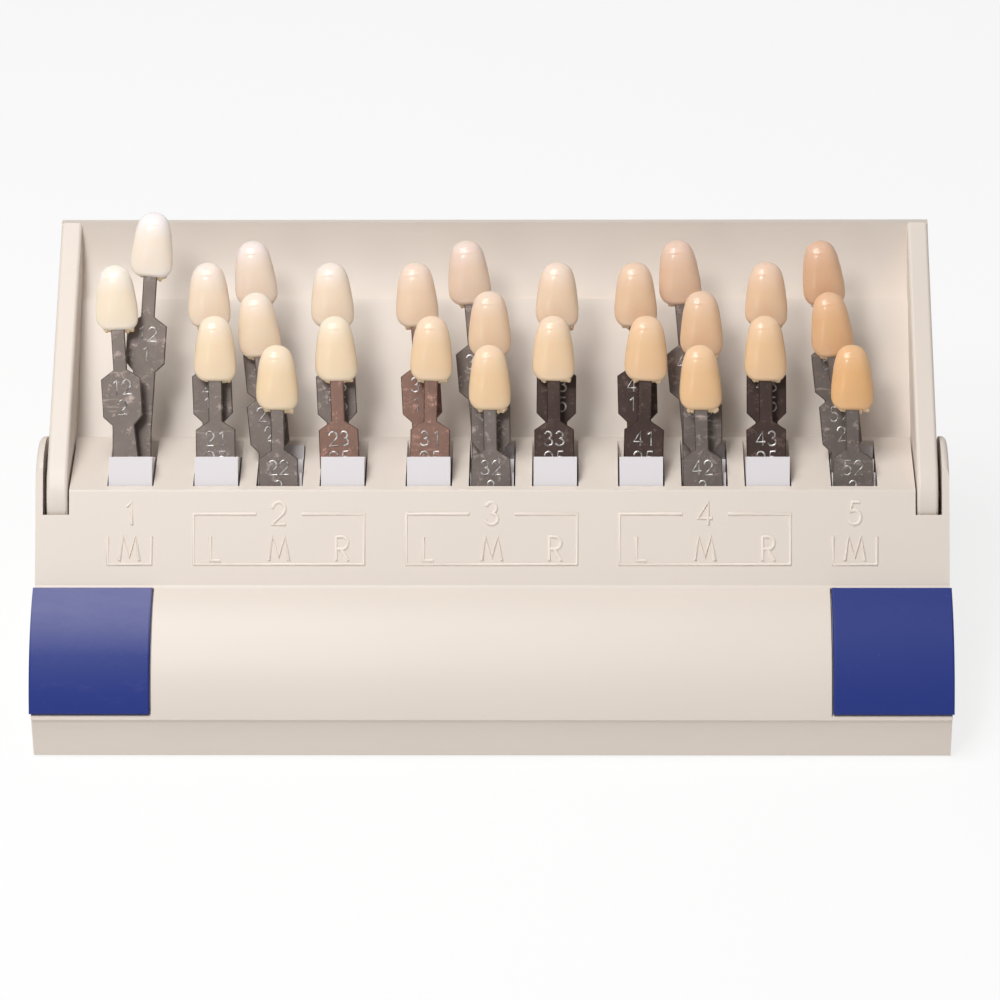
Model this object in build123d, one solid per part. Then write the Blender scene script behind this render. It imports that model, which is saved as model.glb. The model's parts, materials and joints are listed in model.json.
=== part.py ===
from build123d import *
import os
from math import cos, radians, sin, tan

# A dental shade guide: twenty-six sample teeth on stamped steel shanks, in a
# hinged plastic case. The shanks fan out sideways on pins in eleven carriers.
# Millimetres. +X runs to the right along the row of teeth, +Y to the back and
# +Z up. The origin is the centre of the underside.

# Case
case_width = 200.0
case_depth = 79.0
wall = 2.2

# Front of the base, from its bottom edge: a plinth, a bulge, a label panel
plinth_height = 10.3
bulge_overhang = 0.8
bulge_radius = 33.0
bulge_ledge = 0.8
panel_foot_back = 22.1
panel_foot_height = 30.1
panel_lean = 36.2
deck_height = 46.9
deck_depth = 21.6
edge_radius = 0.6
rear_shelf_height = 26.0
rear_foot_height = 4.0

# Pivot of the cover, measured from the front bottom edge
pivot_back = 43.7
pivot_height = 39.8
arm_radius = 12.2
arm_clearance = 0.6
arm_thickness = 4.65
ear_thickness = 1.6
ear_radius = 12.8
ear_rounding = 1.1
side_clearance = 0.35
outer_clearance = 0.8
trunnion_radius = 2.5
trunnion_length = 2.8
trunnion_clearance = 0.1
boss_radius = 5.0

# Cover, in its open position
cover_wall = 2.3
cover_wall_pitch = 39.3
cover_foot_gap = 2.4
cover_foot_rise = 5.6
cover_straight = 32.7
cover_ledge = 1.6
cover_lip_radius = 28.0
cover_lip_turn = 37.0
cheek_pitch = 30.0
cheek_rounding = 0.8

# Row of tabs: the end slots' distance from the ends, and the space in a group
end_margin = 20.67
slot_pitch = 13.87

# The tabs stand in planes that lean back, the front plane through this pivot
rack_lean = 33.2
fan_pivot_back = 30.33
fan_pivot_height = 34.47
plane_pitch = 4.6

# Slots and the carriers in them
slot_width = 10.2
slot_front = 2.06
slot_back = 13.5
slot_drop = 7.8
slot_wall = 1.5
carrier_width = 9.5
carrier_clearance = 0.26
carrier_chamfer = 0.3
slit_width = 1.3
slit_drop = 3.9
two_tab_top = 19.95
three_tab_tops = (11.5, 16.5, 19.5, 22.5)

# Pins that the tabs swing on
pin_radius = 1.0
pin_fit = 0.03

# Steel shank, from its pivot up
steel = 0.9
steel_chamfer = 0.2
eye_radius = 3.2
eye_clearance = 0.08
stem_width = 4.9
flare_start = 26.0
flare_end = 14.0
plate_width = 8.7
plate_length = 12.1
plate_taper = 1.9
neck_width = 3.0
neck_visible = 8.8
neck_in_tooth = 5.0

# Sample tooth
tooth_length = 14.3
tooth_width = 9.3
tooth_widest = 4.2
tooth_cervical_width = 5.6
tooth_front = 2.6
tooth_back = 1.2
socket_clearance = 0.05
foot_width = 5.2
foot_drop = 0.9
foot_depth = 1.5

# Blue grip pads on the front lower corners
pad_length = 26.2
pad_thickness = 1.6
pad_proud = 0.4
pad_wrap = 13.0
pad_gap = 0.4
pad_foot = 1.1
pad_rounding = 0.4

# Floor plate
floor_thickness = 2.0
floor_clearance = 0.15
floor_corner = 2.0

# Distance from the pivot to a tooth's lower edge, for each place in the fan
reach = {
    "short_front": 30.2,
    "short_middle": 42.2,
    "short_rear": 53.9,
    "long_front": 36.6,
    "long_rear": 48.6,
    "tall_front": 47.9,
    "tall_rear": 59.8,
}

# How far each tab leans to the right at rest, in degrees, front tab first
columns = {
    "1_middle": ("tall", (-3.5, 3.7)),
    "2_left": ("long", (-0.6, -2.2)),
    "2_middle": ("short", (-1.1, -6.0, -5.8)),
    "2_right": ("long", (-2.2, -2.8)),
    "3_left": ("long", (0.7, -3.0)),
    "3_middle": ("short", (-0.9, -0.8, -5.1)),
    "3_right": ("long", (-0.6, 0.4)),
    "4_left": ("long", (1.4, -1.3)),
    "4_middle": ("short", (-1.5, -0.7, -5.1)),
    "4_right": ("long", (-0.8, -0.2)),
    "5_middle": ("short", (-0.7, -5.6, -6.1)),
}

# Worked out from the above
half_width = case_width / 2
front = -case_depth / 2
panel_height = deck_height - panel_foot_height
deck_front = panel_foot_back + panel_height * tan(radians(panel_lean))
deck_back = deck_front + deck_depth
arm_outer = half_width - ear_thickness - outer_clearance
arm_inner = arm_outer - arm_thickness
block_half = arm_inner - side_clearance
ear_inner = half_width - ear_thickness
recess_radius = arm_radius + arm_clearance
trunnion_hole = trunnion_radius + trunnion_clearance
carrier_front = slot_front - carrier_clearance
carrier_back = slot_back - carrier_clearance
rack_plane = Plane(
    origin=(0, front + fan_pivot_back, fan_pivot_height),
    x_dir=(1, 0, 0),
    z_dir=(0, -cos(radians(rack_lean)), sin(radians(rack_lean))),
)


def column_places():
    """The x of each slot. The groups share out the width that is left."""
    groups = [name[0] for name in columns]
    breaks = sum(a != b for a, b in zip(groups, groups[1:]))
    steps = len(groups) - 1 - breaks
    group_gap = (case_width - 2 * end_margin - steps * slot_pitch) / breaks
    places, x, last_group = {}, end_margin - case_width / 2, None
    for name, group in zip(columns, groups):
        if last_group is not None:
            x += slot_pitch if group == last_group else group_gap
        places[name] = x
        last_group = group
    return places


def at(back, height):
    """A point of a side view, measured back from the front edge and up."""
    return (front + back, height)


def across(face, left, right):
    """A side view drawn on the YZ plane, extruded from left to right."""
    return extrude(Plane.YZ.offset(left) * face, right - left)


def side_face(*points):
    """A side view with straight edges, from points that run back and up."""
    return make_face(Polyline(*[at(*p) for p in points], close=True))


def side_circle(radius):
    """A circle about the cover's pivot in a side view."""
    return Pos(*at(pivot_back, pivot_height)) * Circle(radius)


def mirrored(shape):
    """The shape and its mirror image on the other side of the middle."""
    return [shape, mirror(shape, about=Plane.YZ)]


# The base

def bulge_top():
    """Back and height of the top of the bulge, one ledge above the panel."""
    lean = radians(panel_lean)
    return (panel_foot_back - bulge_ledge * cos(lean),
            panel_foot_height - bulge_ledge * (1 - sin(lean)))


def bulge_curve(offset):
    """The convex curve of the bulge from the plinth up, moved out by offset."""
    start = Vector(*at(-bulge_overhang, plinth_height))
    end = Vector(*at(*bulge_top()))
    arc = RadiusArc(start, end, bulge_radius)
    middle = arc.arc_center
    radius = arc.radius + offset
    first = (start - middle).normalized() * radius + middle
    last = (end - middle).normalized() * radius + middle
    half_way = (arc.position_at(0.5) - middle).normalized() * radius + middle
    return ThreePointArc(first, half_way, last)


def base_outline():
    """The base in side view, with its true front."""
    curve = bulge_curve(0)
    low = Polyline(at(0, 0), at(0, plinth_height), curve.position_at(0))
    high = Polyline(
        curve.position_at(1),
        at(panel_foot_back, panel_foot_height),
        at(deck_front, deck_height),
        at(deck_back, deck_height),
        at(deck_back, rear_shelf_height),
        at(case_depth, rear_foot_height),
        at(case_depth, 0),
        at(0, 0),
    )
    outline = make_face([low, curve, high])
    edges = [at(deck_front, deck_height), at(case_depth, rear_foot_height), at(0, 0)]
    corners = [v for v in outline.vertices()
               if any(abs(v.X - x) + abs(v.Y - y) < edge_radius / 2 for x, y in edges)]
    return fillet(corners, edge_radius)


def base_cavity():
    """The hollow of the base in side view, one wall inside its outline."""
    curve = bulge_curve(-wall)
    inset = wall / cos(radians(panel_lean))
    lean = tan(radians(panel_lean))
    ledge = curve.position_at(1) - Vector(front, 0)
    roof = deck_height - wall
    roof_front = panel_foot_back + inset + (roof - panel_foot_height) * lean
    slope = (rear_shelf_height - rear_foot_height) / (case_depth - deck_back)
    tail_height = rear_foot_height + wall * slope - wall / 2
    front_line = Polyline(at(wall, 0), at(wall, plinth_height), curve.position_at(0))
    back_line = Polyline(
        curve.position_at(1),
        at(ledge.X + wall / 2, ledge.Y),
        at(roof_front, roof),
        at(deck_back - wall, roof),
        at(deck_back - wall, rear_shelf_height - wall),
        at(case_depth - wall, tail_height),
        at(case_depth - wall, 0),
        at(wall, 0),
    )
    return make_face([front_line, curve, back_line])


def above_panel():
    """All that lies in front of the panel's plane, in side view."""
    lean = tan(radians(panel_lean))
    tall = deck_height + ear_radius
    reach_back = panel_foot_back + (tall - panel_foot_height) * lean
    return side_face(
        (panel_foot_back, panel_foot_height),
        (reach_back, tall),
        (panel_foot_back - ear_radius, tall),
        (panel_foot_back - ear_radius, panel_foot_height),
    )


def behind_pivot():
    """All that lies above the rear shelf and behind the pivot."""
    return side_face(
        (pivot_back, pivot_height - recess_radius),
        (case_depth + wall, pivot_height - recess_radius),
        (case_depth + wall, deck_height + ear_radius),
        (pivot_back, deck_height + ear_radius),
    )


def rack_box(width, top, bottom, near, far):
    """A box in the leaning frame of the tabs, from far to near."""
    box = Box(width, top - bottom, near - far, align=(Align.CENTER, Align.MIN, Align.MIN))
    return rack_plane * (Pos(0, bottom, far) * box)


def base_housing():
    """The moulded housing: shell, rack block with slots, recesses and ears."""
    body = across(base_outline(), -half_width, half_width)
    inner_half = block_half - wall
    deep_half = half_width - wall
    hollow = base_cavity()
    skirt = hollow - side_face(
        (-wall, pivot_height - recess_radius - wall),
        (case_depth, pivot_height - recess_radius - wall),
        (case_depth, deck_height + wall),
        (-wall, deck_height + wall),
    ) - side_circle(recess_radius + wall)
    cavity = across(hollow, -inner_half, inner_half)
    for side in mirrored(across(skirt, inner_half, deep_half)):
        cavity = cavity + side

    # The rack block and the pivot bosses stay solid inside the hollow
    places = column_places()
    rack_half = max(places.values()) + slot_width / 2 + slot_wall
    rack = rack_box(2 * rack_half, deck_height, -slot_drop - slot_wall,
                    slot_front + slot_wall, -slot_back - slot_wall)
    cavity = cavity - rack
    boss = across(side_circle(boss_radius), inner_half - wall, inner_half)
    for each in mirrored(boss):
        cavity = cavity - each
    body = body - cavity

    # Recesses for the cover's arms, with a thin round ear outside each
    recess = across(side_circle(recess_radius) + behind_pivot(), block_half, ear_inner)
    ear = across(side_circle(ear_radius) - above_panel(), ear_inner, half_width)
    rim = ear.faces().sort_by(Axis.X)[-1].edges().filter_by(GeomType.CIRCLE)
    ear = fillet(rim, ear_rounding)
    outside = across(behind_pivot(), ear_inner, half_width + wall)
    hole = across(side_circle(trunnion_hole), block_half - trunnion_length, block_half)
    for part in mirrored(outside):
        body = body - part
    for part in mirrored(ear):
        body = body + part
    for part in mirrored(recess):
        body = body - part
    for part in mirrored(hole):
        body = body - part

    for x in places.values():
        slot = rack_box(slot_width, deck_height, -slot_drop, slot_front, -slot_back)
        body = body - Pos(x, 0, 0) * slot
    for seat in mirrored(pad_seat()):
        body = body - seat
    return body


def pad_band(inner, outer):
    """The band of the bulge between two offsets."""
    near = bulge_curve(outer)
    far = bulge_curve(inner)
    low = Line(near.position_at(0), far.position_at(0))
    high = Line(near.position_at(1), far.position_at(1))
    return make_face([near, high, far, low])


def below(height):
    """All of a side view below a height, round the bulge."""
    return side_face((-2 * wall, 0), (case_depth, 0), (case_depth, height), (-2 * wall, height))


def pad_cheek(back):
    """The end of the bulge in side view, as far back as the pad wraps."""
    whole = make_face([
        bulge_curve(0),
        Polyline(bulge_curve(0).position_at(1), at(back, bulge_top()[1]),
                 at(back, plinth_height), bulge_curve(0).position_at(0)),
    ])
    return whole & side_face((-wall, 0), (back, 0), (back, deck_height), (-wall, deck_height))


def pad_seat():
    """The shallow recess that the right-hand grip pad sits in."""
    sunk = pad_thickness - pad_proud
    inner_end = half_width + pad_proud - pad_length - pad_gap
    under = below(plinth_height + pad_foot - pad_gap)
    band = across(pad_band(-sunk, pad_proud) - under, inner_end, half_width + wall)
    side = across(pad_cheek(pad_wrap + pad_gap) - under, half_width - sunk, half_width + wall)
    return band + side


def grip_pad():
    """The right-hand grip pad, wrapped round the corner of the bulge."""
    sunk = pad_thickness - pad_proud
    outer_end = half_width + pad_proud
    under = below(plinth_height + pad_foot)
    band = across(pad_band(-sunk, pad_proud) - under, outer_end - pad_length, outer_end)
    side = across(pad_cheek(pad_wrap) - under, half_width - sunk, outer_end)
    pad = band + side
    rounds = pad.faces().filter_by(GeomType.CYLINDER).sort_by(SortBy.AREA)
    return fillet(rounds[-1].outer_wire().edges(), pad_rounding)


def base_floor():
    """The flat plate that closes the underside, inside the walls."""
    width = case_width - 2 * (wall + floor_clearance)
    depth = case_depth - 2 * (wall + floor_clearance)
    return extrude(RectangleRounded(width, depth, floor_corner), floor_thickness)


# The cover

def cover_line(offset):
    """The cover's wall in side view: straight, a ledge, then a curved lip."""
    pitch = radians(cover_wall_pitch)
    foot = Vector(deck_back + cover_foot_gap, pivot_height + cover_foot_rise)
    along = Vector(cos(pitch), sin(pitch))
    out = Vector(sin(pitch), -cos(pitch))
    start = foot + out * offset
    ledge = start + along * cover_straight
    step = ledge + out * cover_ledge
    turn = radians(cover_lip_turn)
    middle = step - out * (cover_lip_radius + offset)
    radius = cover_lip_radius + offset
    half = middle + out * (radius * cos(turn / 2)) + along * (radius * sin(turn / 2))
    tip = middle + out * (radius * cos(turn)) + along * (radius * sin(turn))
    points = [at(p.X, p.Y) for p in (start, ledge, step, half, tip)]
    return points


def cover_wall_face():
    """The section of the cover's wall."""
    inner = cover_line(0)
    outer = cover_line(cover_wall)
    edges = [
        Polyline(inner[0], inner[1], inner[2]),
        ThreePointArc(inner[2], inner[3], inner[4]),
        Line(inner[4], outer[4]),
        ThreePointArc(outer[4], outer[3], outer[2]),
        Line(outer[2], outer[0]),
        Line(outer[0], inner[0]),
    ]
    return make_face(edges)


def cheek_face():
    """A cheek in side view: a round arm that widens into the cover's side."""
    pitch = radians(cheek_pitch)
    edge_up = Vector(-sin(pitch), cos(pitch))
    pivot = Vector(pivot_back, pivot_height)
    low = pivot + edge_up * arm_radius
    inner = [Vector(x - front, y) for x, y in cover_line(0)]
    outer = [Vector(x - front, y) for x, y in cover_line(cover_wall)]
    tip = inner[4]
    outer_tip = outer[4]
    bottom = outer[0]
    body = make_face([
        Polyline(at(low.X, low.Y), at(tip.X, tip.Y), at(outer_tip.X, outer_tip.Y)),
        ThreePointArc(at(outer_tip.X, outer_tip.Y), at(outer[3].X, outer[3].Y),
                      at(outer[2].X, outer[2].Y)),
        Polyline(at(outer[2].X, outer[2].Y), at(bottom.X, bottom.Y),
                 at(pivot.X, pivot.Y), at(low.X, low.Y)),
    ])
    return body + side_circle(arm_radius)


def cheek_front_edges(cheek):
    """The long edges of a cheek that face the front, and those round its arm."""
    line = cover_line(0)
    tip_height = line[4][1]
    chosen = []
    for edge in cheek.edges():
        if abs(edge.tangent_at(0.5).X) > 0.5:
            continue
        middle = edge.center()
        arm = edge.geom_type == GeomType.CIRCLE and edge.radius < arm_radius + wall
        long_line = edge.geom_type == GeomType.LINE and edge.length > cover_straight
        if arm or (long_line and middle.Z > (pivot_height + tip_height) / 2):
            chosen.append(edge)
    return chosen


def cover():
    """The tray-shaped cover with its two arms and trunnions, in one piece."""
    body = across(cover_wall_face(), -arm_outer, arm_outer)
    cheek = across(cheek_face(), arm_inner, arm_outer)
    cheek = fillet(cheek_front_edges(cheek), cheek_rounding)
    trunnion = across(side_circle(trunnion_radius), arm_inner - trunnion_length + outer_clearance / 2,
                      arm_inner)
    for part in mirrored(cheek):
        body = body + part
    for part in mirrored(trunnion):
        body = body + part
    return body


# The tabs

def shank_half_width(height):
    """Half the stem's width at a height above the pivot."""
    slim, broad = stem_width / 2, eye_radius
    share = (flare_start - height) / (flare_start - flare_end)
    return slim + (broad - slim) * min(max(share, 0.0), 1.0)


def shank(length):
    """One stamped steel shank, upright, with its eye at the origin."""
    plate_top = length - neck_visible
    plate_bottom = plate_top - plate_length
    stem_top = shank_half_width(plate_bottom)
    heights = [h for h in (flare_start, flare_end) if 0 < h < plate_bottom]
    right = [(neck_width / 2, length + neck_in_tooth), (neck_width / 2, plate_top),
             (plate_width / 2, plate_top - plate_taper),
             (plate_width / 2, plate_bottom + plate_taper), (stem_top, plate_bottom)]
    right += [(shank_half_width(h), h) for h in heights]
    right.append((shank_half_width(0), 0))
    left = [(-x, y) for x, y in reversed(right)]
    outline = make_face(Polyline(*right, *left, close=True)) + Circle(eye_radius)
    outline = outline - Circle(pin_radius + eye_clearance)
    sheet = extrude(outline, steel / 2, both=True)
    rim = sheet.faces().sort_by(Axis.Z)[-1].outer_wire().edges()
    return chamfer([e for e in rim if e.center().Y < length], steel_chamfer)


def tooth_outline():
    """A tooth from the front, its lower edge at height zero."""
    half = tooth_width / 2
    neck = tooth_cervical_width / 2
    shoulder = tooth_length * 0.86
    corner = tooth_length * 0.09
    flat = half * 0.55
    right = ThreePointArc((half, tooth_widest), (half * 0.90, tooth_length * 0.6), (neck, shoulder))
    top = ThreePointArc((neck, shoulder), (0, tooth_length), (-neck, shoulder))
    left = ThreePointArc((-neck, shoulder), (-half * 0.90, tooth_length * 0.6), (-half, tooth_widest))
    low_left = ThreePointArc((-half, tooth_widest), (-half * 0.88, corner), (-flat, 0))
    edge = Line((-flat, 0), (flat, 0))
    low_right = ThreePointArc((flat, 0), (half * 0.88, corner), (half, tooth_widest))
    return make_face([right, top, left, low_left, edge, low_right])


def tooth_side():
    """A tooth from the side: x towards the front, y up."""
    top = tooth_length
    near = ThreePointArc((tooth_front * 0.25, 0), (tooth_front, top * 0.45), (0, top))
    far = ThreePointArc((0, top), (-tooth_back, top * 0.55), (-tooth_back * 0.75, 0))
    return make_face([near, far, Line((-tooth_back * 0.75, 0), (tooth_front * 0.25, 0))])


def tooth_section():
    """A tooth from above: a round front and a flatter back."""
    half = tooth_width / 2
    near = ThreePointArc((half, -tooth_back * 0.2), (0, tooth_front), (-half, -tooth_back * 0.2))
    far = ThreePointArc((-half, -tooth_back * 0.2), (0, -tooth_back), (half, -tooth_back * 0.2))
    return make_face([near, far])


def tooth():
    """One sample tooth with its resin foot, upright, lower edge at height zero."""
    thick = tooth_front + tooth_back
    body = Pos(0, 0, -thick) * extrude(tooth_outline(), 2 * thick)
    side_plane = Plane(origin=(-tooth_width, 0, 0), x_dir=(0, 0, 1), z_dir=(-1, 0, 0))
    body = body & extrude(side_plane * tooth_side(), -2 * tooth_width)
    top_plane = Plane(origin=(0, -foot_drop, 0), x_dir=(1, 0, 0), z_dir=(0, 1, 0))
    section = mirror(tooth_section(), about=Plane.XZ)
    body = body & extrude(top_plane * section, 2 * tooth_length)
    foot = Pos(0, -foot_drop, -foot_depth / 2) * Box(
        foot_width, foot_drop + neck_in_tooth, foot_depth, align=(Align.CENTER, Align.MIN, Align.MIN))
    socket = Pos(0, -foot_drop, 0) * Box(
        neck_width + 2 * socket_clearance, foot_drop + neck_in_tooth + socket_clearance,
        steel + 2 * socket_clearance, align=(Align.CENTER, Align.MIN, Align.CENTER))
    return body + foot - socket


def tab_place(x, plane_number, lean):
    """The frame of a tab: its pivot, leaned to the right by lean degrees."""
    return rack_plane * Pos(x, 0, -plane_number * plane_pitch) * Rot(0, 0, -lean)


def carrier(tops):
    """A white comb that holds its tabs by one pin. tops run from front to back."""
    count = len(tops) - 1
    block = None
    near = carrier_front
    for i, top in enumerate(tops):
        far = -i * plane_pitch + slit_width / 2 if i < count else -carrier_back
        height = top + slot_drop
        piece = Pos(0, -slot_drop, far) * Box(
            carrier_width, height, near - far, align=(Align.CENTER, Align.MIN, Align.MIN))
        block = piece if block is None else block + piece
        near = -i * plane_pitch - slit_width / 2
    root = slot_drop - slit_drop
    base = Pos(0, -slot_drop, -carrier_back) * Box(
        carrier_width, root, carrier_back + carrier_front, align=(Align.CENTER, Align.MIN, Align.MIN))
    hole = Pos(0, 0, carrier_front) * Cylinder(
        pin_radius + pin_fit, carrier_front + carrier_back, align=(Align.CENTER, Align.CENTER, Align.MAX))
    comb = block + base - hole
    face = comb.faces().sort_by(Axis.Z)[-1]
    return chamfer(face.edges().sort_by(Axis.Y)[-1], carrier_chamfer)


def fan_pin():
    """A steel pin as long as the carrier is deep."""
    return Pos(0, 0, -carrier_back) * Cylinder(
        pin_radius, carrier_front + carrier_back, align=(Align.CENTER, Align.CENTER, Align.MIN))


def save(name, shape):
    """Write one piece, or a group of like pieces, under its node's name."""
    solids = shape.solids()
    shape = solids[0] if len(solids) == 1 else Compound(children=solids)
    shape.label = name
    export_step(shape, f"parts/{name}.step")


def build():
    os.makedirs("parts", exist_ok=True)
    save("base_housing", base_housing())
    save("base_floor", base_floor())
    save("cover", cover())
    right = grip_pad()
    save("grip_pad_right", right)
    save("grip_pad_left", mirror(right, about=Plane.YZ))

    places = column_places()
    two_tops = (two_tab_top,) * 3
    groups = {"two_tab_carriers": [], "three_tab_carriers": []}
    pins = []
    depths = ("front", "middle", "rear")
    tooth_shape = tooth()
    for name, (kind, leans) in columns.items():
        x = places[name]
        ends = depths if len(leans) == 3 else (depths[0], depths[2])
        seat = rack_plane * Pos(x, 0, 0)
        if len(leans) == 3:
            groups["three_tab_carriers"].append(seat * carrier(three_tab_tops))
        else:
            groups["two_tab_carriers"].append(seat * carrier(two_tops))
        pins.append(seat * fan_pin())
        for plane_number, (depth, lean) in enumerate(zip(ends, leans)):
            length = reach[f"{kind}_{depth}"]
            place = tab_place(x, plane_number, lean)
            save(f"shank_{name}_{depth}", place * shank(length))
            save(f"tooth_{name}_{depth}", place * Pos(0, length, 0) * tooth_shape)
    for name, pieces in groups.items():
        save(name, Compound(children=pieces))
    save("fan_pins", Compound(children=pins))


build()
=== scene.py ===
"""A dental shade guide in its open case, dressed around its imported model.

The frame is in metres: +X along the row of teeth, +Y to the back, +Z up, with
the origin at the centre of the underside. Named sizes are in millimetres.
"""

import json
import math
import random
from types import SimpleNamespace

import bpy
from mathutils import Matrix, Vector

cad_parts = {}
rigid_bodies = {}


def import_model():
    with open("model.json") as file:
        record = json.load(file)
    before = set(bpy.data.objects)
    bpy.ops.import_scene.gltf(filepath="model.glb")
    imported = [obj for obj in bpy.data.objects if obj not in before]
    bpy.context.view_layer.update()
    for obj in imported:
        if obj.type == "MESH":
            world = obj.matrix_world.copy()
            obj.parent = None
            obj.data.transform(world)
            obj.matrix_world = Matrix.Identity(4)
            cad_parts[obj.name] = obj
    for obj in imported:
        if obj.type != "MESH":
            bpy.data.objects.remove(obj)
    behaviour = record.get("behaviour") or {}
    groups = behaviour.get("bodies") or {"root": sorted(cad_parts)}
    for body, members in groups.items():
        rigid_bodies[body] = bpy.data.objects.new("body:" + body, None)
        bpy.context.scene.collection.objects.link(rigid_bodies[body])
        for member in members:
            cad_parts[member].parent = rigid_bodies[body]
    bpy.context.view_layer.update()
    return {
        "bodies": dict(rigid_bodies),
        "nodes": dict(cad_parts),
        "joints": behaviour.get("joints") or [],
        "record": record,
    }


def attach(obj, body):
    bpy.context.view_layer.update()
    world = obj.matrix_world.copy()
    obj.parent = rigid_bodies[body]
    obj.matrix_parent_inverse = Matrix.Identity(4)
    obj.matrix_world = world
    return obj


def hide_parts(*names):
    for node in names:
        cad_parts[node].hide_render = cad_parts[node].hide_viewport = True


bl_info = {
    "name": "Dental shade guide",
    "version": (1, 0, 0),
    "blender": (4, 5, 0),
    "location": "View3D > Sidebar > Shade guide",
    "description": "Builds the pieces and finishes of a dental shade guide",
    "category": "Object",
}

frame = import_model()
nodes = frame["nodes"]
JOINTS = {joint["child"]: joint for joint in frame["joints"]}
TABS = sorted(body for body in frame["bodies"] if body.startswith("tab_"))

MM = 0.001
SEED = 7


# Sizes and colours that a user would change

def length_property(name, description, millimetres):
    return bpy.props.FloatProperty(
        name=name, description=description, unit="LENGTH", precision=5, default=millimetres * MM)


def colour_property(name, description, default):
    return bpy.props.FloatVectorProperty(
        name=name, description=description, subtype="COLOR", default=default)


class ToothSizes(bpy.types.PropertyGroup):
    length: length_property("Length", "From the lower edge to the rounded top", 14.3)
    width: length_property("Width", "Across the widest place", 9.3)
    front: length_property("Front", "How far the face stands before the shank", 2.6)
    back: length_property("Back", "How far the back stands behind the shank", 1.2)
    resin: length_property("Resin", "How far the bonding resin shows below the tooth", 0.9)


class MarkSizes(bpy.types.PropertyGroup):
    letter: length_property("Letter height", "Height of the panel's letters", 5.2)
    number: length_property("Number height", "Height of the panel's numbers", 4.9)
    line: length_property("Line width", "Width of the panel's raised lines", 0.78)
    stamp: length_property("Stamp height", "Height of the numbers on the shanks", 3.1)
    spacing: length_property("Stamp spacing", "From one stamped number to the next", 2.5)
    stroke: length_property("Stamp stroke", "Width of a stamped line", 0.38)


class GuideColours(bpy.types.PropertyGroup):
    cream: colour_property("Cream", "Case plastic", (0.76, 0.675, 0.60))
    white: colour_property("White", "Carrier plastic", (0.74, 0.70, 0.715))
    blue: colour_property("Blue", "Grip pads", (0.019, 0.037, 0.215))
    steel: colour_property("Steel", "Most shanks", (0.185, 0.152, 0.136))
    brown_steel: colour_property("Brown steel", "Shanks that look brown", (0.23, 0.135, 0.106))
    dark_steel: colour_property("Dark steel", "Shanks that look dark", (0.075, 0.050, 0.043))


class GuideSettings(bpy.types.PropertyGroup):
    tooth: bpy.props.PointerProperty(type=ToothSizes, name="Teeth", description="Tooth sizes")
    marks: bpy.props.PointerProperty(type=MarkSizes, name="Marks", description="Mark sizes")
    colours: bpy.props.PointerProperty(type=GuideColours, name="Colours", description="Finishes")


def settings():
    return bpy.context.scene.shade_guide


def in_mm(group):
    """The lengths of a property group as plain numbers in millimetres."""
    return SimpleNamespace(**{key: getattr(group, key) / MM for key in group.__annotations__})


# Shader maths

class Value:
    """A socket in a material's tree, with the arithmetic that the finishes use."""

    def __init__(self, tree, socket):
        self.tree = tree
        self.socket = socket

    def _math(self, operation, first, second, clamp=False):
        node = self.tree.nodes.new("ShaderNodeMath")
        node.operation = operation
        node.use_clamp = clamp
        for place, term in zip(node.inputs, (first, second)):
            if isinstance(term, Value):
                self.tree.links.new(term.socket, place)
            else:
                place.default_value = term
        return Value(self.tree, node.outputs[0])

    def __add__(self, other):
        return self._math("ADD", self, other)

    def __mul__(self, other):
        return self._math("MULTIPLY", self, other)

    __radd__ = __add__
    __rmul__ = __mul__

    def __sub__(self, other):
        return self._math("SUBTRACT", self, other)

    def __rsub__(self, other):
        return self._math("SUBTRACT", other, self)

    def __truediv__(self, other):
        return self._math("DIVIDE", self, other)

    def __rtruediv__(self, other):
        return self._math("DIVIDE", other, self)

    def clamped(self):
        return self._math("ADD", self, 0.0, clamp=True)


# Places of the factor, the colours and the result on Blender's colour Mix node
MIX_FACTOR, MIX_FIRST, MIX_SECOND, MIX_RESULT = 0, 6, 7, 2


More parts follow.
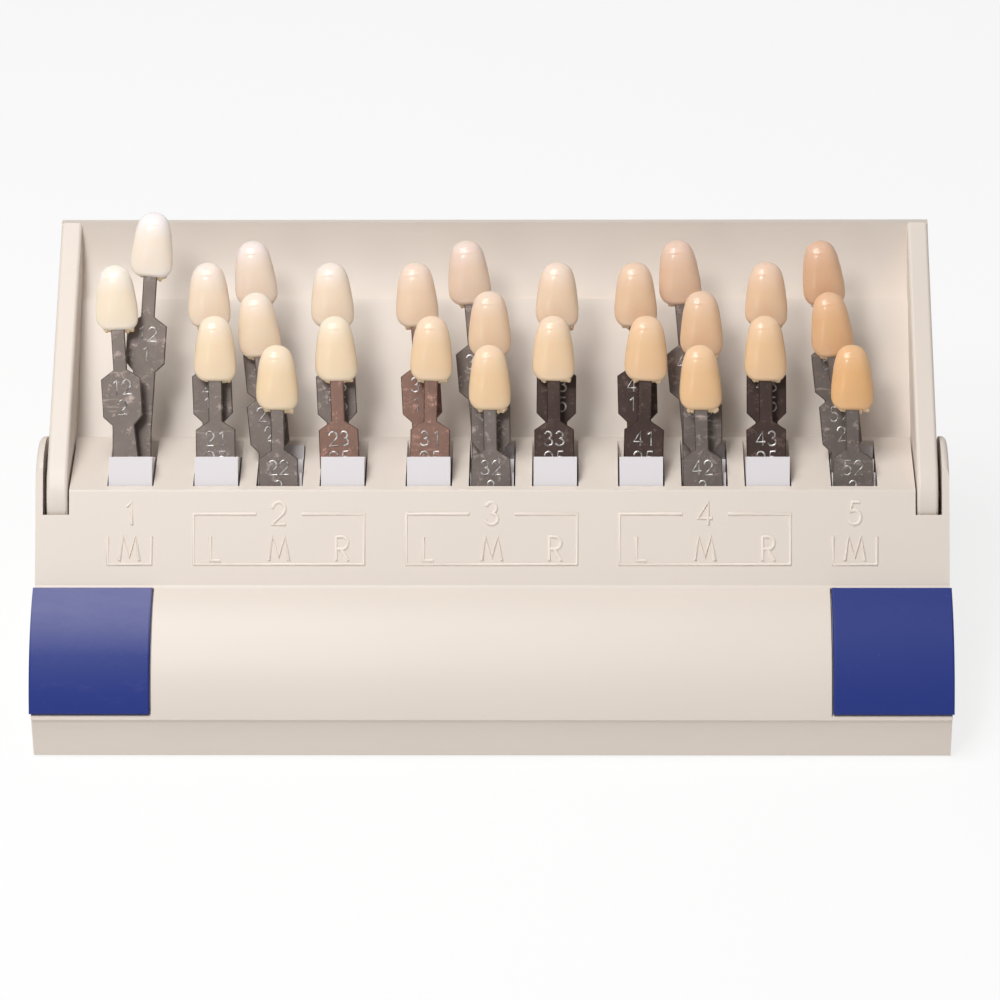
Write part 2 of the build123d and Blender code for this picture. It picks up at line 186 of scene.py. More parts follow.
class Surface:
    """A new material with a Principled shader, built by short calls."""

    def __init__(self, name):
        self.material = bpy.data.materials.new(name)
        self.material.use_nodes = True
        self.tree = self.material.node_tree
        self.shader = self.tree.nodes["Principled BSDF"]
        self.place = self.node("ShaderNodeTexCoord").outputs["Object"]

    def node(self, kind, settings=None, **inputs):
        """A node of a type, with its settings set before its sockets are fed."""
        made = self.tree.nodes.new(kind)
        for key, value in (settings or {}).items():
            if key == "ramp":
                self._ramp(made, value)
            else:
                setattr(made, key, value)
        for key, value in inputs.items():
            self._feed(made.inputs[key.replace("_", " ")], value)
        return made

    def _feed(self, socket, value):
        if isinstance(value, Value):
            self.tree.links.new(value.socket, socket)
        elif isinstance(value, bpy.types.NodeSocket):
            self.tree.links.new(value, socket)
        else:
            socket.default_value = value

    @staticmethod
    def _ramp(node, stops):
        elements = node.color_ramp.elements
        while len(elements) < len(stops):
            elements.new(0.5)
        for element, (position, colour) in zip(elements, stops):
            element.position = position
            element.color = rgba(colour)

    def set(self, **inputs):
        """Feeds sockets of the shader, named with underscores for spaces."""
        for key, value in inputs.items():
            self._feed(self.shader.inputs[key.replace("_", " ")], value)

    def noise(self, scale, detail=2.0, roughness=0.5, stretch=(1.0, 1.0, 1.0), turn=(0.0, 0.0, 0.0)):
        mapping = self.node("ShaderNodeMapping", {"vector_type": "POINT"},
                            Vector=self.place, Scale=stretch, Rotation=turn)
        made = self.node("ShaderNodeTexNoise", Vector=mapping.outputs[0], Scale=scale,
                         Detail=detail, Roughness=roughness)
        return Value(self.tree, made.outputs["Fac"])

    def mix(self, factor, first, second):
        made = self.node("ShaderNodeMix", {"data_type": "RGBA"})
        self._feed(made.inputs[MIX_FACTOR], factor)
        self._feed(made.inputs[MIX_FIRST], first)
        self._feed(made.inputs[MIX_SECOND], second)
        return made.outputs[MIX_RESULT]

    def ramp(self, factor, stops):
        return self.node("ShaderNodeValToRGB", {"ramp": stops}, Fac=factor).outputs[0]

    def part(self, vector, axis):
        """One axis of a vector, as a number."""
        split = self.node("ShaderNodeSeparateXYZ", Vector=vector)
        return Value(self.tree, split.outputs[axis])

    def bump(self, height, distance, strength=1.0, under=None):
        """Relief from a height, laid over another relief where one is given."""
        made = self.node("ShaderNodeBump", Height=height, Distance=distance, Strength=strength)
        if under is not None:
            self.tree.links.new(under, made.inputs["Normal"])
        return made.outputs[0]


def rgba(colour, gain=1.0):
    return (colour[0] * gain, colour[1] * gain, colour[2] * gain, 1.0)


def lit_more(colour, gains):
    """A colour with each part raised by its own gain, up to full."""
    return tuple(min(part * gain, 1.0) for part, gain in zip(colour, gains))


# Finishes, with grain sizes as noise scales and bump depths in metres

def moulded_plastic(name, colour, roughness=0.42):
    """Moulded plastic: a fine spark-eroded grain and faint uneven tone."""
    s = Surface(name)
    patch = s.noise(22.0, detail=3.0)
    tone = s.mix(patch, rgba(colour, 0.975), rgba(colour, 1.02))
    fine = s.noise(2600.0, detail=2.0)
    s.set(Base_Color=tone, Roughness=fine * 0.10 + (roughness - 0.05), IOR=1.46,
          Normal=s.bump(fine, 0.00002, 0.35))
    return s.material


# The pads' painted sheen, a pale colour that stands in for light falling on their upper parts, starts
# at this height and is full after this rise
PAINTED_SHEEN_FOOT = 22.0
PAINTED_SHEEN_RISE = 10.0
PAINTED_SHEEN_COLOUR = (0.34, 0.33, 0.50)
DUST_COLOUR = (0.17, 0.20, 0.42)


def grip_rubber(name, colour, painted_sheen):
    """Soft blue grip plastic with specks and light scuffs, and a painted sheen that makes it paler
    near its top.
    """
    s = Surface(name)
    specks = s.noise(900.0, detail=4.0, roughness=0.7)
    scuffs = s.noise(140.0, detail=6.0, roughness=0.75, stretch=(0.25, 1.0, 1.0))
    dust = ((specks - 0.66) * 6.0).clamped() * 0.5 + ((scuffs - 0.60) * 3.0).clamped() * 0.25
    height = s.part(s.place, "Z") / MM
    # Painted sheen: paler towards the top, where light falls, broken up by the scuffs
    highlit = ((height - PAINTED_SHEEN_FOOT) / PAINTED_SHEEN_RISE).clamped() * (scuffs * 0.8 + 0.6) * painted_sheen
    tone = s.mix(dust, rgba(colour), rgba(DUST_COLOUR))
    tone = s.mix(highlit.clamped(), tone, rgba(PAINTED_SHEEN_COLOUR))
    s.set(Base_Color=tone, Roughness=specks * 0.2 + 0.38, IOR=1.32,
          Normal=s.bump(specks, 0.00003, 0.4))
    return s.material


def stamped_steel(name, colour, seed):
    """Rolled steel sheet, dull and scratched, brightest along the scratches."""
    s = Surface(name)
    grain = s.noise(900.0, detail=3.0, stretch=(1.0, 0.12, 0.12), turn=(0.0, 0.0, 0.1 * seed))
    stain = s.noise(160.0, detail=4.0, roughness=0.6)
    scratch = s.noise(420.0, detail=5.0, roughness=0.7, stretch=(0.15, 1.0, 1.0),
                      turn=(0.4, 0.9, 0.7 + seed))
    wear = s.noise(420.0, detail=8.0, roughness=0.8)
    bright = ((scratch - 0.60) * 7.0).clamped() * 0.6 + ((wear - 0.55) * 9.0).clamped() * 0.6
    tone = s.mix(stain, rgba(colour, 0.8), rgba(colour, 1.35))
    tone = s.mix(bright.clamped(), tone, rgba(colour, 3.6))
    s.set(Base_Color=tone, Metallic=0.85, Roughness=grain * 0.25 + 0.30,
          Normal=s.bump(wear, 0.00010, 0.6, s.bump(grain, 0.00003, 0.5)))
    return s.material


def stamp_metal(name):
    """The stamped numbers, painted bright for the light that their walls catch, a painted highlight
    that is broken up at random.
    """
    s = Surface(name)
    # Painted highlight: bright where this noise is high, dull steel elsewhere
    highlit = ((s.noise(900.0, detail=3.0, roughness=0.6) - 0.40) * 4.0).clamped()
    s.set(Base_Color=s.mix(highlit, rgba((0.20, 0.18, 0.17)), rgba((0.86, 0.84, 0.81))),
          Metallic=0.6, Roughness=highlit * 0.1 + 0.3)
    return s.material


def sample_tooth(name, colour):
    """Glazed tooth ceramic: its own shade, a little lighter at the lower edge, and a painted
    highlight that makes it paler towards the rounded top.
    """
    s = Surface(name)
    uv = s.node("ShaderNodeUVMap", {"uv_map": "height"}).outputs[0]
    height = s.part(uv, "Y")
    cloud = s.noise(260.0, detail=2.0)
    # Painted highlight: the glaze's gloss near the rounded top, painted as a paler colour
    painted_top_highlight = lit_more(colour, (1.07, 1.14, 1.32))
    edge = lit_more(colour, (1.01, 1.05, 1.12))
    tone = s.ramp(height + (cloud - 0.5) * 0.12,
                  ((0.0, edge), (0.22, colour), (0.55, colour), (0.90, painted_top_highlight)))
    s.set(Base_Color=tone, Roughness=cloud * 0.08 + 0.17, IOR=1.5,
          Normal=s.bump(cloud, 0.00002, 0.3), Subsurface_Weight=0.35,
          Subsurface_Radius=(1.0, 0.6, 0.35), Subsurface_Scale=0.0012)
    return s.material


def mounting_resin(name):
    """Tan resin that bonds a tooth to its shank, ground by hand."""
    s = Surface(name)
    cloud = s.noise(500.0, detail=4.0, roughness=0.65)
    tone = s.mix(cloud, rgba((0.56, 0.35, 0.18)), rgba((0.86, 0.68, 0.47)))
    s.set(Base_Color=tone, Roughness=cloud * 0.3 + 0.35, Normal=s.bump(cloud, 0.0002, 0.6),
          Subsurface_Weight=0.15, Subsurface_Scale=0.001)
    return s.material


# Meshes

def deselect():
    bpy.ops.object.select_all(action="DESELECT")


def select_only(*objects):
    """Selects these objects alone and makes the first of them active."""
    deselect()
    for each in objects:
        each.select_set(True)
    bpy.context.view_layer.objects.active = objects[0]


def named(name):
    """The object that an operator has just made, with its name."""
    made = bpy.context.object
    made.name = name
    made.data.name = name
    return made


def place_mesh(obj, matrix):
    """Moves a mesh by its vertices, so that its object stays at the origin."""
    obj.data.transform(matrix)
    obj.matrix_world = Matrix.Identity(4)


def paint(obj, material):
    obj.data.materials.clear()
    obj.data.materials.append(material)


def smooth_faces(obj):
    for face in obj.data.polygons:
        face.use_smooth = True


# Numbers, letters and the lines that draw them

def arc(centre_x, centre_y, radius_x, radius_y, start, end, steps=10):
    """Points along an arc, in degrees from the right, anticlockwise."""
    points = []
    for i in range(steps + 1):
        angle = math.radians(start + (end - start) * i / steps)
        points.append((centre_x + radius_x * math.cos(angle), centre_y + radius_y * math.sin(angle)))
    return points


# Each sign one unit high: its strokes, then its width
SIGNS = {
    "1": ([[(0.05, 0.80), (0.28, 1.0), (0.28, 0.0)]], 0.36),
    "2": ([arc(0.30, 0.70, 0.28, 0.30, 175, -38) + [(0.0, 0.0), (0.60, 0.0)]], 0.60),
    "3": ([arc(0.27, 0.75, 0.23, 0.25, 165, -90) + arc(0.27, 0.25, 0.29, 0.25, 90, -165)], 0.58),
    "4": ([[(0.46, 0.0), (0.46, 1.0), (0.0, 0.27), (0.62, 0.27)]], 0.62),
    "5": ([[(0.52, 1.0), (0.17, 1.0), (0.10, 0.58)] + arc(0.27, 0.32, 0.29, 0.32, 120, -150)], 0.58),
    "L": ([[(0.0, 1.0), (0.0, 0.0), (0.42, 0.0)]], 0.42),
    "M": ([[(0.0, 0.0), (0.16, 1.0), (0.42, 0.12), (0.68, 1.0), (0.84, 0.0)]], 0.84),
    "R": ([[(0.0, 0.0), (0.0, 1.0)] + arc(0.24, 0.74, 0.25, 0.26, 90, -90) + [(0.0, 0.48)],
           [(0.22, 0.48), (0.50, 0.0)]], 0.50),
}


def sign_strokes(sign, height, x, y):
    """The strokes of one sign, centred on x with its foot at y."""
    lines, width = SIGNS[sign]
    middle = width / 2 * height
    return [[(px * height - middle + x, py * height + y) for px, py in line] for line in lines]


def line_art(name, strokes, width, matrix, flatten):
    """Raised lines along strokes in the XY plane, as one mesh, flattened along Z."""
    data = bpy.data.curves.new(name, "CURVE")
    data.dimensions = "3D"
    data.bevel_depth = width / 2 * MM
    data.bevel_resolution = 2
    data.use_fill_caps = True
    for stroke in strokes:
        spline = data.splines.new("POLY")
        spline.points.add(len(stroke) - 1)
        for point, (x, y) in zip(spline.points, stroke):
            point.co = (x * MM, y * MM, 0.0, 1.0)
    made = bpy.data.objects.new(name, data)
    bpy.context.scene.collection.objects.link(made)
    select_only(made)
    bpy.ops.object.convert(target="MESH")
    made = bpy.context.object
    place_mesh(made, matrix @ Matrix.Diagonal((1.0, 1.0, flatten, 1.0)))
    return made


# Where the tabs are, read from the frame

def upright_frame(across, up, out, origin):
    """A matrix from its three axes and its origin."""
    matrix = Matrix((across, up, out)).transposed().to_4x4()
    matrix.translation = origin
    return matrix


def leaned_frame(body):
    """A tab's frame at its pivot: x across, y up the shank, z to the viewer."""
    joint = JOINTS[body]
    pivot = Vector(joint["pos_m"])
    normal = -Vector(joint["axis"]).normalized()
    mesh = nodes[body.replace("tab_", "shank_")].data
    centre = sum((v.co for v in mesh.vertices), Vector()) / len(mesh.vertices)
    up = centre - pivot
    up -= normal * up.dot(normal)
    up.normalize()
    return upright_frame(up.cross(normal), up, normal, pivot)


def tooth_foot(body, matrix):
    """The height of a tooth's lower edge above its tab's pivot, in millimetres."""
    inverse = matrix.inverted()
    tooth = nodes[body.replace("tab_", "tooth_")].data
    top = max((inverse @ v.co).y for v in tooth.vertices)
    return top / MM - in_mm(settings().tooth).length


def shade_numbers(body):
    """Group (1 to 5), side and chroma (1 to 3) of a tab, from its name."""
    _, group, side, depth = body.split("_")
    if side != "middle":
        chroma = {"rear": 1.5, "front": 2.5}[depth]
    elif group == "1":
        chroma = {"rear": 1.0, "front": 2.0}[depth]
    else:
        chroma = {"rear": 1.0, "middle": 2.0, "front": 3.0}[depth]
    return int(group), side, chroma


# The teeth

# Shares of half the width, the front and the back, each at a share of the
# height from the rounded top (0) to the lower edge (1)
FLANK = ((0.0, 0.57), (0.10, 0.65), (0.20, 0.77), (0.32, 0.86), (0.50, 0.94), (0.70, 1.0),
         (0.85, 0.99), (1.0, 0.95))
FACE = ((0.0, 0.42), (0.10, 0.72), (0.18, 0.91), (0.28, 0.99), (0.50, 0.96), (0.78, 0.74),
        (1.0, 0.42))
HEEL = ((0.0, 0.50), (0.15, 0.85), (0.45, 1.0), (0.75, 0.85), (1.0, 0.55))

# Share of the height over which the top rounds off, and the lower edge thins to a share
DOME = 0.13
EDGE = 0.05
EDGE_LEFT = 0.35

# Lower corners on the right (1) and the left (-1): height and width of their rounding, as shares
CORNERS = {1: (0.16, 0.42), -1: (0.21, 0.50)}

# Powers that square up the section across the tooth
SECTION = (2.5, 0.62)

# The lower edge slopes from this share on, at this rate at the side, in mm for a whole share
SLOPE_FROM = 0.6
SLOPE = 0.18

# Fine ridges on the face below the top: place as a share, rise in mm
RIDGES = ((0.055, 0.08), (0.12, 0.15), (0.195, 0.17))
RIDGE_WIDTH = 0.016
RIDGE_SPREAD = 0.45
RIDGE_SAG = 0.03

# What the tooth's map takes for its full width, in metres
MAP_WIDTH = 0.02

TINY = 1e-6


def curve_through(points, place):
    """A smooth curve through a few points, read at a place."""
    for i in range(len(points) - 1):
        (x0, y0), (x1, y1) = points[i], points[i + 1]
        if place <= x1:
            break
    before = points[max(i - 1, 0)]
    after = points[min(i + 2, len(points) - 1)]
    slope0 = (y1 - before[1]) / (x1 - before[0])
    slope1 = (after[1] - y0) / (after[0] - x0)
    t = (place - x0) / (x1 - x0)
    width = x1 - x0
    return ((2 * t ** 3 - 3 * t ** 2 + 1) * y0 + (t ** 3 - 2 * t ** 2 + t) * slope0 * width
            + (3 * t ** 2 - 2 * t ** 3) * y1 + (t ** 3 - t ** 2) * slope1 * width)


def rounded(distance, radius):
    """Rises from nought to one like a quarter circle, within a radius."""
    if distance >= radius:
        return 1.0
    return math.sqrt(max(0.0, 1.0 - (1.0 - distance / radius) ** 2))


def ridge_lift(share, across, middle):
    """How far the ridges raise the face at a place, in mm."""
    near = math.exp(-((across - middle) / RIDGE_SPREAD) ** 2)
    lift = 0.0
    for ridge, rise in RIDGES:
        dip = share - ridge - RIDGE_SAG * across ** 2
        lift += rise * near * math.exp(-(dip / RIDGE_WIDTH) ** 2)
    return lift


def shape_tooth(obj, rng):
    """Turns a round ball into a front tooth, its lower edge at height zero."""
    size = in_mm(settings().tooth)
    half = size.width / 2 * rng.uniform(0.985, 1.01)
    corners = {side: (tall, wide * rng.uniform(0.9, 1.1)) for side, (tall, wide) in CORNERS.items()}
    ridge_middle = rng.uniform(-0.18, 0.05)
    for vertex in obj.data.vertices:
        x, y, z = vertex.co
        share = (1.0 - z) / 2
        ring = math.hypot(x, y)
        across = x / ring if ring > TINY else 0.0
        tall, wide = corners[1 if x > 0 else -1]
        width = curve_through(FLANK, share) * rounded(share, DOME)
        width -= wide * (1.0 - rounded(1.0 - share, tall))
        if y < 0:
            depth = size.front * curve_through(FACE, share)
        else:
            depth = -size.back * curve_through(HEEL, share)
        depth *= rounded(share, DOME) * (EDGE_LEFT + (1.0 - EDGE_LEFT) * rounded(1.0 - share, EDGE))
        if ring < TINY:
            width = depth = 0.0
        out = depth * (1.0 - abs(across) ** SECTION[0]) ** SECTION[1]
        if y < 0:
            out += ridge_lift(share, across, ridge_middle)
        height = (1.0 - share) * size.length
        height -= SLOPE * across * max(0.0, share - SLOPE_FROM)
        vertex.co = (across * width * half * MM, height * MM, out * MM)


def tooth_height_map(obj):
    """A UV map whose Y is the height, so that the shade follows the tooth."""
    length = settings().tooth.length
    layer = obj.data.uv_layers.new(name="height")
    for loop in obj.data.loops:
        co = obj.data.vertices[loop.vertex_index].co
        layer.data[loop.index].uv = (0.5 + co.x / MAP_WIDTH, co.y / length)


def shade_colour(group, side, chroma):
    """Darker with the group, stronger with the chroma, and a little lighter at the sides."""
    dark = (group - 1) / 4
    strong = (chroma - 1) / 2
    aside = 0.0 if side == "middle" else 0.015
    return (0.905 - 0.170 * dark - 0.011 * strong + 0.073 * dark * strong + aside,
            0.785 - 0.330 * dark - 0.044 * strong + 0.061 * dark * strong + aside,
            0.665 - 0.385 * dark - 0.143 * strong + 0.086 * dark * strong + aside / 2)


def shade_material(group, side, chroma):
    """The material of a shade, made once."""
    name = f"shade {group} {side} {chroma:g}"
    return bpy.data.materials.get(name) or sample_tooth(name, shade_colour(group, side, chroma))


# Lumps of resin under a tooth: places across it, depth and height of their centres
LUMPS_ACROSS = (-2.2, -1.7, 1.7, 2.2, 2.9)
LUMP_CENTRE = (0.25, -0.35)
LUMP_HALF_WIDTH = 0.75
LUMP_HALF_DEPTH = 0.62
LUMP_IN_TOOTH = 0.25


def resin_lump(across, rng, resin):
    """One rough lump, which reaches up into the tooth."""
    deselect()
    bpy.ops.mesh.primitive_ico_sphere_add(subdivisions=3, radius=1.0)
    lump = bpy.context.object
    drop = resin * rng.uniform(0.2, 0.9) * (1.2 if across > 0 else 0.8)
    phase = rng.uniform(0.0, 6.0)
    centre = Vector((across + rng.uniform(-0.3, 0.3), *LUMP_CENTRE))
    half = (LUMP_HALF_WIDTH, drop + LUMP_IN_TOOTH, LUMP_HALF_DEPTH)
    for vertex in lump.data.vertices:
        x, y, z = vertex.co
        rough = 1.0 + 0.10 * math.sin(5.0 * x + phase) + 0.09 * math.sin(7.0 * y - 3.0 * z + phase)
        grown = Vector((x * half[0], y * half[1], z * half[2])) * rough
        vertex.co = (centre + grown) * MM
    return lump


class GUIDE_OT_teeth(bpy.types.Operator):
    """Model the sample teeth and the resin that bonds them to their shanks"""
    bl_idname = "shade_guide.teeth"
    bl_label = "Teeth"

    def execute(self, context):
        resin = mounting_resin("mounting resin")
        for number, body in enumerate(TABS):
            rng = random.Random(SEED + number)
            matrix = leaned_frame(body)
            seat = matrix @ Matrix.Translation((0.0, tooth_foot(body, matrix) * MM, 0.0))

            deselect()
            bpy.ops.mesh.primitive_uv_sphere_add(segments=48, ring_count=80, radius=1.0)
            tooth = named(body.replace("tab_", "glazed_tooth_"))
            shape_tooth(tooth, rng)
            tooth_height_map(tooth)
            place_mesh(tooth, seat)
            smooth_faces(tooth)
            paint(tooth, shade_material(*shade_numbers(body)))
            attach(tooth, body)
            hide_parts(body.replace("tab_", "tooth_"))

            size = in_mm(settings().tooth)
            select_only(*[resin_lump(across, rng, size.resin) for across in LUMPS_ACROSS])
            bpy.ops.object.join()
            foot = named(body.replace("tab_", "resin_foot_"))
            place_mesh(foot, seat)
            smooth_faces(foot)
            paint(foot, resin)
            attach(foot, body)
        return {"FINISHED"}


# The shanks

# From the tooth's lower edge down to the label plate, and from the plate's top to each row's foot
PLATE_DROP = 8.8
STAMP_ROWS = (5.4, 9.8)

# How far the stamps stand before their tab's pivot, and how flat their lines are
STAMP_OUT = 0.46
STAMP_FLATTEN = 0.35

COLUMN_NUMBERS = {"left": 1, "middle": 2, "right": 3}


class GUIDE_OT_shanks(bpy.types.Operator):
    """Give the steel shanks their finish and their stamped numbers"""
    bl_idname = "shade_guide.shanks"
    bl_label = "Shanks"

    def execute(self, context):
        colours = settings().colours
        finishes = {
            "shank_steel": stamped_steel("rolled steel", colours.steel, 1),
            "shank_steel_brown": stamped_steel("brown steel", colours.brown_steel, 2),
            "shank_steel_dark": stamped_steel("dark steel", colours.dark_steel, 3),
        }
        slots = {part["node"]: part["material_slot"] for part in frame["record"]["subparts"]}
        # The stamps carry a painted highlight for the light caught by their walls
        bright = stamp_metal("stamp walls")
        for body in TABS:
            shank = body.replace("tab_", "shank_")
            paint(nodes[shank], finishes[slots[shank]])
            marks = self.stamps(body)
            paint(marks, bright)
            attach(marks, body)
        paint(nodes["fan_pins"], stamped_steel("pin steel", (0.45, 0.44, 0.43), 5))
        return {"FINISHED"}

    @staticmethod
    def stamps(body):
        """Two rows of plain numbers: group and column, then chroma."""
        size = in_mm(settings().marks)
        matrix = leaned_frame(body)
        group, side, chroma = shade_numbers(body)
        plate_top = tooth_foot(body, matrix) - PLATE_DROP
        # chroma 1.5 reads 15, and chroma 2 reads 2
        texts = (f"{group}{COLUMN_NUMBERS[side]}", f"{chroma:g}".replace(".", ""))
        strokes = []
        for text, drop in zip(texts, STAMP_ROWS):
            for place, sign in enumerate(text):
                x = (place - (len(text) - 1) / 2) * size.spacing
                strokes += sign_strokes(sign, size.stamp, x, plate_top - drop)
        front = matrix @ Matrix.Translation((0.0, 0.0, STAMP_OUT * MM))
        return line_art(body.replace("tab_", "stamp_"), strokes, size.stroke, front, STAMP_FLATTEN)


# The case

class GUIDE_OT_case(bpy.types.Operator):
    """Give the case, the carriers and the grip pads their finishes"""
    bl_idname = "shade_guide.case"
    bl_label = "Case"

    def execute(self, context):
        colours = settings().colours
        cream = moulded_plastic("cream plastic", colours.cream)
        white = moulded_plastic("white plastic", colours.white, roughness=0.5)
        finishes = {
            "base_housing": cream,
            "base_floor": cream,
            "cover": cream,
            "two_tab_carriers": white,
            "three_tab_carriers": white,
            # The left pad is given far more painted sheen than the right, as light falls on it from
            # the left
            "grip_pad_left": grip_rubber("worn blue grip", colours.blue, painted_sheen=0.55),
            "grip_pad_right": grip_rubber("blue grip", colours.blue, painted_sheen=0.05),
        }
        for node, finish in finishes.items():
            paint(nodes[node], finish)
        return {"FINISHED"}


# The label panel, as it stands in the part: its lean from upright, and its foot

PANEL_LEAN = math.radians(36.2)
PANEL_FOOT = (-39.5 + 22.1, 30.1)

# Feet of the letters and numbers, lower and upper lines of the frames, up the panel
LETTER_FOOT = 5.4
NUMBER_FOOT = 13.3
FRAME_LOW = 4.55
FRAME_HIGH = 15.6
SINGLE_FRAME_HIGH = 10.6

# From a column to the side of its frame, and half the gap round the number
FRAME_SIDE = 4.8
NUMBER_GAP = 5.0

MARK_FLATTEN = 0.8
# The raised marks are painted lighter than the panel, a painted highlight for the light that catches
# them
MARK_HIGHLIGHT_GAIN = 1.1


def panel_matrix():
    """The label panel's frame: x across, y up the panel, z out of it."""
    up = Vector((0.0, math.sin(PANEL_LEAN), math.cos(PANEL_LEAN)))
    out = Vector((0.0, -math.cos(PANEL_LEAN), math.sin(PANEL_LEAN)))
    origin = (0.0, PANEL_FOOT[0] * MM, PANEL_FOOT[1] * MM)
    return upright_frame(Vector((1.0, 0.0, 0.0)), up, out, origin)


def columns():
    """Slot centres by group and side, from the tabs' joints."""
    found = {}
    for body in TABS:
        _, group, side, _ = body.split("_")
        found.setdefault(group, {})[side] = JOINTS[body]["pos_m"][0] / MM
    return found


class GUIDE_OT_marks(bpy.types.Operator):
    """Raise the numbers, letters and frames on the label panel"""
    bl_idname = "shade_guide.marks"
    bl_label = "Panel marks"

    def execute(self, context):
        size = in_mm(settings().marks)
        strokes = []
        for group, sides in columns().items():
            middle = sum(sides.values()) / len(sides)
            strokes += sign_strokes(group, size.number, middle, NUMBER_FOOT)
            for side, x in sides.items():
                strokes += sign_strokes(side[0].upper(), size.letter, x, LETTER_FOOT)
            left = min(sides.values()) - FRAME_SIDE
            right = max(sides.values()) + FRAME_SIDE
            if len(sides) == 1:
                strokes.append([(left, SINGLE_FRAME_HIGH), (left, FRAME_LOW),
                                (right, FRAME_LOW), (right, SINGLE_FRAME_HIGH)])
            else:
                strokes.append([(middle - NUMBER_GAP, FRAME_HIGH), (left, FRAME_HIGH),
                                (left, FRAME_LOW), (right, FRAME_LOW),
                                (right, FRAME_HIGH), (middle + NUMBER_GAP, FRAME_HIGH)])
        marks = line_art("panel_marks", strokes, size.line, panel_matrix(), MARK_FLATTEN)
        cream = settings().colours.cream
        # Painted highlight: the marks' plastic is lighter than the panel's
        paint(marks, moulded_plastic("raised cream plastic", [part * MARK_HIGHLIGHT_GAIN for part in cream]))
        select_only(marks)
        bpy.ops.object.shade_smooth_by_angle(angle=math.radians(50.0))
        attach(marks, "base")
        return {"FINISHED"}


# The stage, with the camera and the lamps fitted to the photograph

CAMERA_AIM = (1.85, -9.5, 47.19)
CAMERA_AZIMUTH = 1.0
CAMERA_ELEVATION = 33.2
CAMERA_DISTANCE = 1057.9
CAMERA_ROLL = -0.545
FOCAL_PIXELS = 4853.0
IMAGE_PIXELS = 1000.0
SENSOR = 36.0
LAMP_AIM = (0.0, 0.0, 40.0)

# The world seen directly is white, and its light on the guide is weaker
WORLD_LIGHT = 0.26
# How much of the floor is a plain white glow, and how much more where it is seen directly
FLOOR_GLOW = 0.38
FLOOR_GLOW_SEEN = 0.42


def direction(azimuth, elevation):
    """A unit vector, from degrees to the right of the front and above the table."""
    turn, rise = math.radians(azimuth), math.radians(elevation)
    return Vector((math.sin(turn) * math.cos(rise), -math.cos(turn) * math.cos(rise), math.sin(rise)))


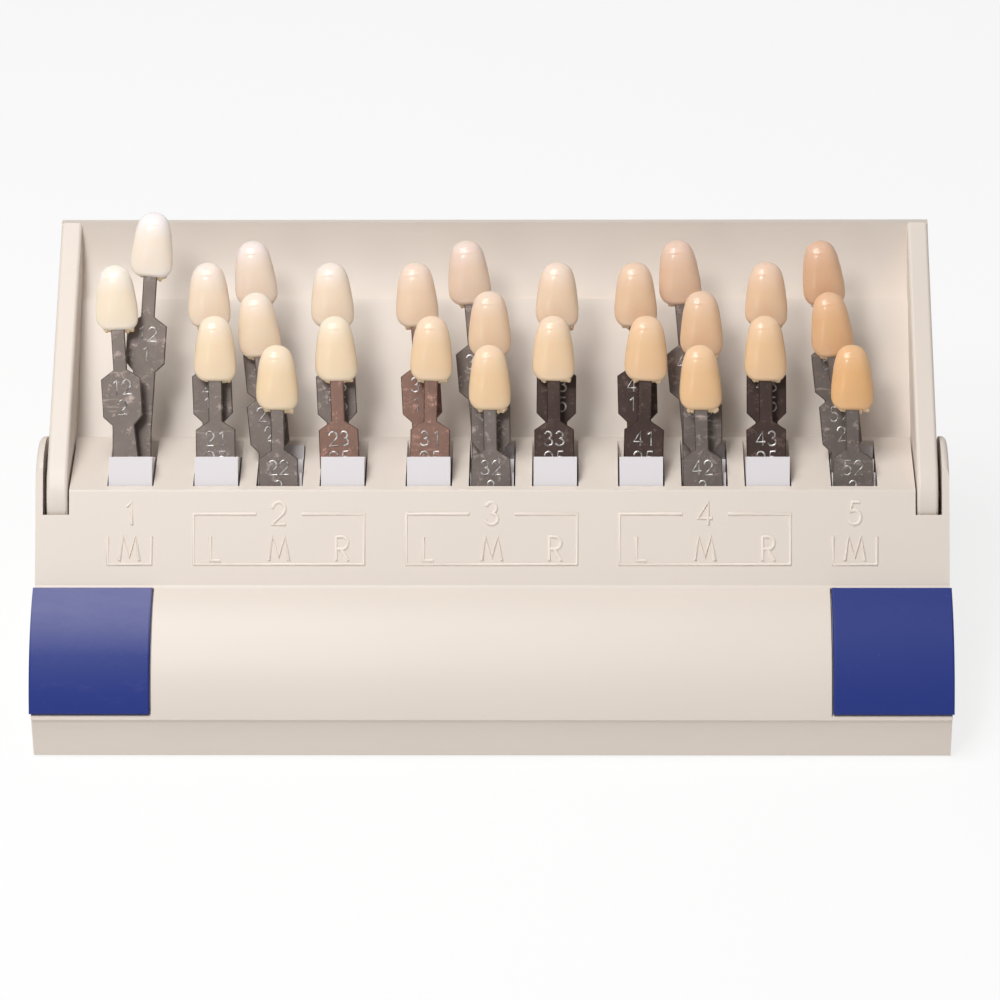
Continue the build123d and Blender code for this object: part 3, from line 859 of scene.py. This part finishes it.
class GUIDE_OT_stage(bpy.types.Operator):
    """Set up the floor, the lights, the world and the camera"""
    bl_idname = "shade_guide.stage"
    bl_label = "Stage"

    def execute(self, context):
        self.floor()
        self.lamp("key light", azimuth=-24.0, elevation=52.0, distance=1000.0, size=240.0, power=2.9)
        self.lamp("side light", azimuth=-62.0, elevation=72.0, distance=850.0, size=460.0, power=4.1)
        self.lamp("low light", azimuth=-25.0, elevation=20.0, distance=1300.0, size=240.0, power=0.5)
        self.world()
        self.camera()
        return {"FINISHED"}

    @staticmethod
    def floor():
        """A pale floor just below the case, with a glow that makes it nearly white."""
        deselect()
        bpy.ops.mesh.primitive_plane_add(size=6.0, location=(0.0, 0.0, -0.0002))
        floor = named("floor")
        s = Surface("white floor")
        tone = s.noise(1.5)
        s.set(Base_Color=s.mix(tone, (0.90, 0.90, 0.90, 1.0), (0.92, 0.92, 0.92, 1.0)),
              Roughness=tone * 0.1 + 0.75)
        glow = s.node("ShaderNodeEmission", Color=(1.0, 1.0, 1.0, 1.0), Strength=1.0)
        seen = Value(s.tree, s.node("ShaderNodeLightPath").outputs["Is Camera Ray"])
        mix = s.node("ShaderNodeMixShader", Fac=seen * FLOOR_GLOW_SEEN + FLOOR_GLOW)
        s.tree.links.new(s.shader.outputs[0], mix.inputs[1])
        s.tree.links.new(glow.outputs[0], mix.inputs[2])
        s.tree.links.new(mix.outputs[0], s.tree.nodes["Material Output"].inputs["Surface"])
        paint(floor, s.material)

    @staticmethod
    def lamp(name, azimuth, elevation, distance, size, power):
        """A soft round lamp that looks at the guide, by its direction in degrees."""
        data = bpy.data.lights.new(name, "AREA")
        data.shape = "DISK"
        data.size = size * MM
        data.energy = power
        lamp = bpy.data.objects.new(name, data)
        bpy.context.scene.collection.objects.link(lamp)
        aim = Vector(LAMP_AIM) * MM
        lamp.location = aim + direction(azimuth, elevation) * distance * MM
        lamp.rotation_euler = (lamp.location - aim).to_track_quat("Z", "Y").to_euler()

    @staticmethod
    def world():
        world = bpy.data.worlds.new("studio")
        bpy.context.scene.world = world
        world.use_nodes = True
        tree = world.node_tree
        back = tree.nodes["Background"]
        back.inputs["Color"].default_value = (1.0, 1.0, 1.0, 1.0)
        seen = Value(tree, tree.nodes.new("ShaderNodeLightPath").outputs["Is Camera Ray"])
        strength = seen * (1.0 - WORLD_LIGHT) + WORLD_LIGHT
        tree.links.new(strength.socket, back.inputs["Strength"])

    @staticmethod
    def camera():
        away = direction(CAMERA_AZIMUTH, CAMERA_ELEVATION)
        right = away.cross(Vector((0.0, 0.0, -1.0))).normalized()
        up = away.cross(right)
        roll = math.radians(CAMERA_ROLL)
        across = right * math.cos(roll) + up * math.sin(roll)
        upward = up * math.cos(roll) - right * math.sin(roll)
        data = bpy.data.cameras.new("camera")
        data.sensor_width = SENSOR
        data.lens = FOCAL_PIXELS / IMAGE_PIXELS * SENSOR
        data.clip_end = 20.0
        camera = bpy.data.objects.new("camera", data)
        bpy.context.scene.collection.objects.link(camera)
        origin = Vector(CAMERA_AIM) * MM + away * CAMERA_DISTANCE * MM
        camera.matrix_world = upright_frame(across, upward, away, origin)
        bpy.context.scene.camera = camera


class GUIDE_PT_panel(bpy.types.Panel):
    """The operators in the order in which they run"""
    bl_idname = "GUIDE_PT_panel"
    bl_label = "Shade guide"
    bl_space_type = "VIEW_3D"
    bl_region_type = "UI"
    bl_category = "Shade guide"

    def draw(self, context):
        for operator in OPERATORS:
            self.layout.operator(operator.bl_idname)


OPERATORS = (GUIDE_OT_stage, GUIDE_OT_case, GUIDE_OT_shanks, GUIDE_OT_teeth, GUIDE_OT_marks)
CLASSES = (ToothSizes, MarkSizes, GuideColours, GuideSettings) + OPERATORS + (GUIDE_PT_panel,)


def register():
    for each in CLASSES:
        bpy.utils.register_class(each)
    bpy.types.Scene.shade_guide = bpy.props.PointerProperty(
        type=GuideSettings, name="Shade guide", description="Sizes and colours")


def unregister():
    del bpy.types.Scene.shade_guide
    for each in reversed(CLASSES):
        bpy.utils.unregister_class(each)


def main():
    register()
    bpy.context.scene.view_settings.view_transform = "Standard"
    bpy.ops.shade_guide.stage()
    bpy.ops.shade_guide.case()
    bpy.ops.shade_guide.shanks()
    bpy.ops.shade_guide.teeth()
    bpy.ops.shade_guide.marks()
    bpy.context.view_layer.update()


if __name__ == "__main__":
    main()
